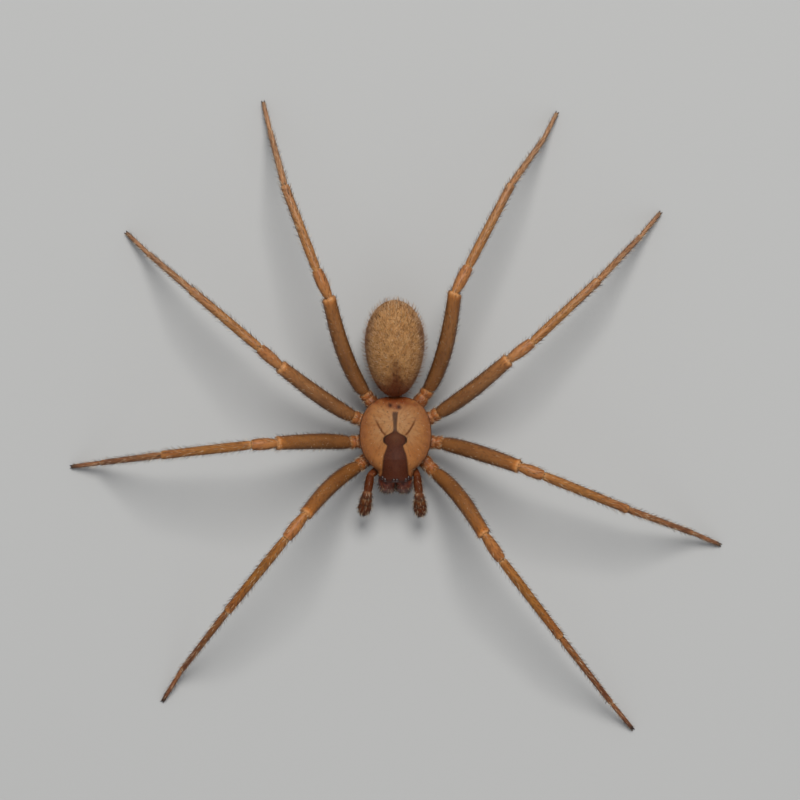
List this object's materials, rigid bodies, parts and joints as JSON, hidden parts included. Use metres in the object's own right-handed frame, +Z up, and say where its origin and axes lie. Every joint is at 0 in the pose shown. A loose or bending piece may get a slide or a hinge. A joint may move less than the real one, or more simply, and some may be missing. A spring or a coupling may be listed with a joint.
{
  "type": "brown recluse spider model",
  "caption": "Life-size still model of a long-legged brown recluse spider, standing on its feet with its legs spread.",
  "frame": {"origin": "on the floor, under the middle of the leg spread", "axes": "+Z up, -Y towards the head, so +X is the spider's own left side"},
  "size_m": [0.0328, 0.0318, 0.0054],
  "materials": {
    "carapace": "sclerotised cuticle with a soft sheen and a darker violin mark",
    "abdomen": "soft cuticle under short golden-brown hair",
    "femur": "brown cuticle with fine hair",
    "tibia": "light orange-brown cuticle with fine hair",
    "foot": "darker brown cuticle with fine hair",
    "coxa": "brown cuticle",
    "palp": "dark reddish-brown cuticle with bristles",
    "chelicera": "dark reddish-brown polished cuticle",
    "eye": "black, clear and glossy",
    "spinneret": "pale brown cuticle with short hair"
  },
  "bodies": {
    "root": {"cephalothorax": "carapace", "abdomen": "abdomen", "pedicel": "coxa", "spinnerets": "spinneret", "chelicera_left": "chelicera", "chelicera_right": "chelicera", "palp_left": "palp", "palp_right": "palp", "eyes_median": "eye", "eyes_left": "eye", "eyes_right": "eye", "leg_left_1_coxa": "coxa", "leg_left_1_femur": "femur", "leg_left_1_tibia": "tibia", "leg_left_1_foot": "foot", "leg_left_2_coxa": "coxa", "leg_left_2_femur": "femur", "leg_left_2_tibia": "tibia", "leg_left_2_foot": "foot", "leg_left_3_coxa": "coxa", "leg_left_3_femur": "femur", "leg_left_3_tibia": "tibia", "leg_left_3_foot": "foot", "leg_left_4_coxa": "coxa", "leg_left_4_femur": "femur", "leg_left_4_tibia": "tibia", "leg_left_4_foot": "foot", "leg_right_1_coxa": "coxa", "leg_right_1_femur": "femur", "leg_right_1_tibia": "tibia", "leg_right_1_foot": "foot", "leg_right_2_coxa": "coxa", "leg_right_2_femur": "femur", "leg_right_2_tibia": "tibia", "leg_right_2_foot": "foot", "leg_right_3_coxa": "coxa", "leg_right_3_femur": "femur", "leg_right_3_tibia": "tibia", "leg_right_3_foot": "foot", "leg_right_4_coxa": "coxa", "leg_right_4_femur": "femur", "leg_right_4_tibia": "tibia", "leg_right_4_foot": "foot"}
  },
  "joints": []
}
